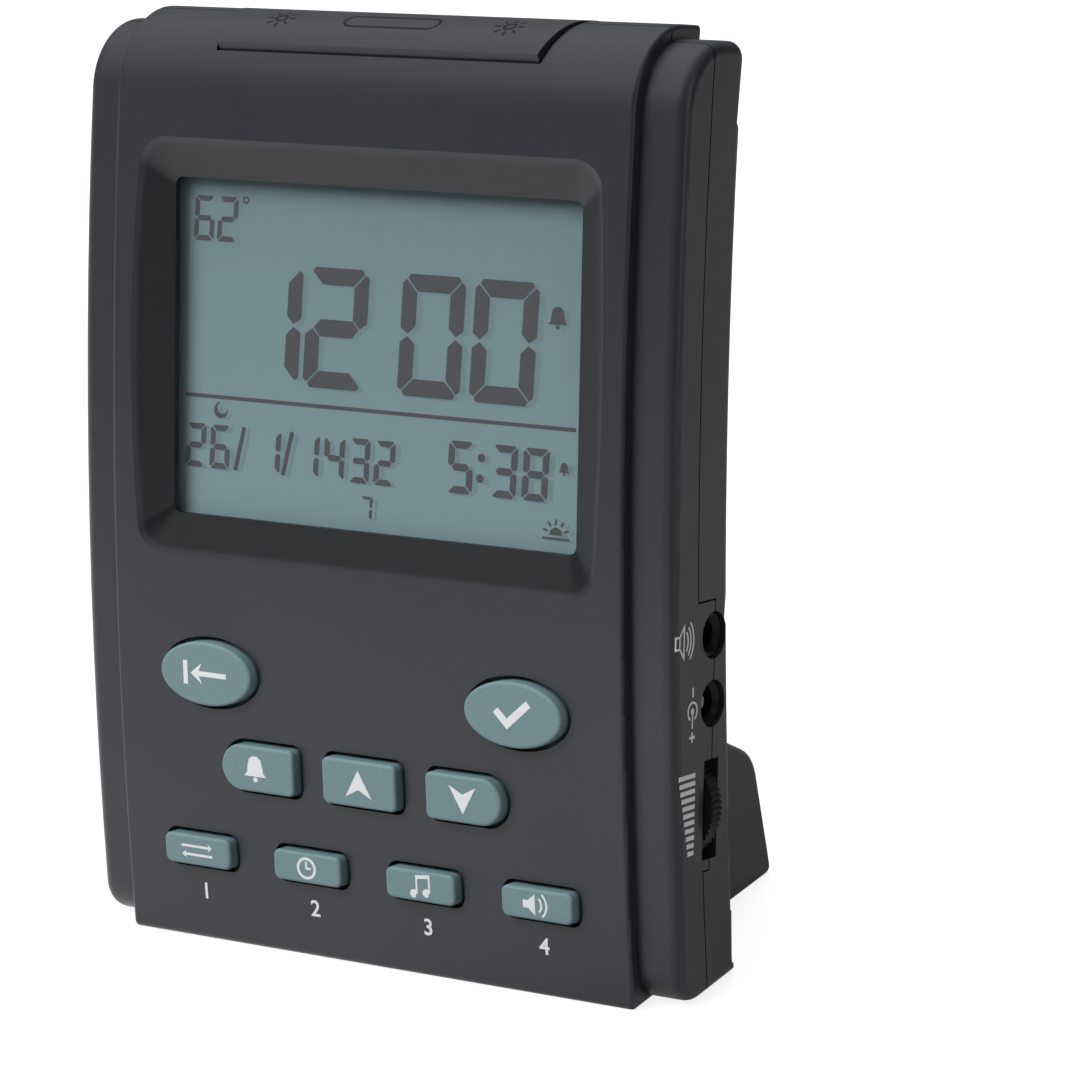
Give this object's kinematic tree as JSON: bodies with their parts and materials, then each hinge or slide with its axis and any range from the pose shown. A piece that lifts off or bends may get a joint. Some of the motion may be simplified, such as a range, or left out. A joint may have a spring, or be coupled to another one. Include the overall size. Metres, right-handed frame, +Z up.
{
  "type": "azan clock",
  "caption": "Desk prayer-time clock: an arched plastic case leaning on a rear battery foot, with a recessed display, rubber-sprung keys, a top bar and a side thumbwheel.",
  "frame": {"origin": "middle of the resting footprint box, on the table plane", "axes": "+Z up from the table, -Y the way the display faces, +X to the viewer's right (the jack and thumbwheel side)"},
  "size_m": [0.0972, 0.051, 0.1278],
  "materials": {
    "case_black": "satin, fine moulded texture",
    "key_teal": "satin",
    "window_clear": "polished",
    "lcd_panel": "polished",
    "diffuser": "matte",
    "holder_white": "satin",
    "rubber_grey": "matte",
    "board_green": "solder mask",
    "chip_black": "matte",
    "plated_steel": "bright plated",
    "cone_film": "thin film",
    "magnet": "ferrite",
    "wheel_black": "matte",
    "jack_black": "moulded",
    "cell_wrap": "plain printed wrap"
  },
  "bodies": {
    "clock_case": {"front_case": "case_black", "rear_case": "case_black", "display_window": "window_clear", "lcd_glass": "lcd_panel", "backlight_plate": "diffuser", "lcd_holder": "holder_white", "zebra_strip": "rubber_grey", "main_board": "board_green", "board_chips": "chip_black", "keypad_mat": "rubber_grey", "top_bar_switch": "chip_black", "switch_board": "board_green", "speaker_frame": "plated_steel", "speaker_cone": "cone_film", "speaker_magnet": "magnet", "volume_pot": "plated_steel", "audio_jack": "jack_black", "dc_jack": "jack_black", "dc_jack_pin": "plated_steel", "battery_front": "cell_wrap", "battery_rear": "cell_wrap", "battery_contacts": "plated_steel", "case_screws": "plated_steel", "board_screws": "plated_steel"},
    "key_exit_cap": {"key_exit": "key_teal"},
    "key_set_cap": {"key_set": "key_teal"},
    "key_daily_alarm_cap": {"key_daily_alarm": "key_teal"},
    "key_up_cap": {"key_up": "key_teal"},
    "key_down_cap": {"key_down": "key_teal"},
    "key_calendar_cap": {"key_calendar": "key_teal"},
    "key_reminder_cap": {"key_reminder": "key_teal"},
    "key_volume_tone_cap": {"key_volume_tone": "key_teal"},
    "key_call_cap": {"key_call": "key_teal"},
    "top_bar_cap": {"top_bar": "case_black"},
    "volume_knob": {"volume_wheel": "wheel_black"},
    "battery_cover": {"battery_door": "case_black"}
  },
  "joints": [
    {"name": "key_exit_press", "type": "slide", "parent": "clock_case", "child": "key_exit_cap", "axis": [0, 0.982, -0.1891], "range_m": [0, 0.0009], "stiffness_N_per_m": 300},
    {"name": "key_set_press", "type": "slide", "parent": "clock_case", "child": "key_set_cap", "axis": [0, 0.982, -0.1891], "range_m": [0, 0.0009], "stiffness_N_per_m": 300},
    {"name": "key_daily_alarm_press", "type": "slide", "parent": "clock_case", "child": "key_daily_alarm_cap", "axis": [0, 0.982, -0.1891], "range_m": [0, 0.0009], "stiffness_N_per_m": 300},
    {"name": "key_up_press", "type": "slide", "parent": "clock_case", "child": "key_up_cap", "axis": [0, 0.982, -0.1891], "range_m": [0, 0.0009], "stiffness_N_per_m": 300},
    {"name": "key_down_press", "type": "slide", "parent": "clock_case", "child": "key_down_cap", "axis": [0, 0.982, -0.1891], "range_m": [0, 0.0009], "stiffness_N_per_m": 300},
    {"name": "key_calendar_press", "type": "slide", "parent": "clock_case", "child": "key_calendar_cap", "axis": [0, 0.982, -0.1891], "range_m": [0, 0.0009], "stiffness_N_per_m": 300},
    {"name": "key_reminder_press", "type": "slide", "parent": "clock_case", "child": "key_reminder_cap", "axis": [0, 0.982, -0.1891], "range_m": [0, 0.0009], "stiffness_N_per_m": 300},
    {"name": "key_volume_tone_press", "type": "slide", "parent": "clock_case", "child": "key_volume_tone_cap", "axis": [0, 0.982, -0.1891], "range_m": [0, 0.0009], "stiffness_N_per_m": 300},
    {"name": "key_call_press", "type": "slide", "parent": "clock_case", "child": "key_call_cap", "axis": [0, 0.982, -0.1891], "range_m": [0, 0.0009], "stiffness_N_per_m": 300},
    {"name": "top_bar_press", "type": "slide", "parent": "clock_case", "child": "top_bar_cap", "axis": [0, 0.294, -0.9558], "range_m": [0, 0.001], "stiffness_N_per_m": 500},
    {"name": "volume_turn", "type": "hinge", "parent": "clock_case", "child": "volume_knob", "pos_m": [0.0406, -0.01172, 0.0253], "axis": [0, 0.982, -0.1891], "range_deg": [-135, 135]},
    {"name": "battery_door_slide", "type": "slide", "parent": "clock_case", "child": "battery_cover", "axis": [0, 0.8511, -0.5251], "range_m": [0, 0.02]}
  ]
}
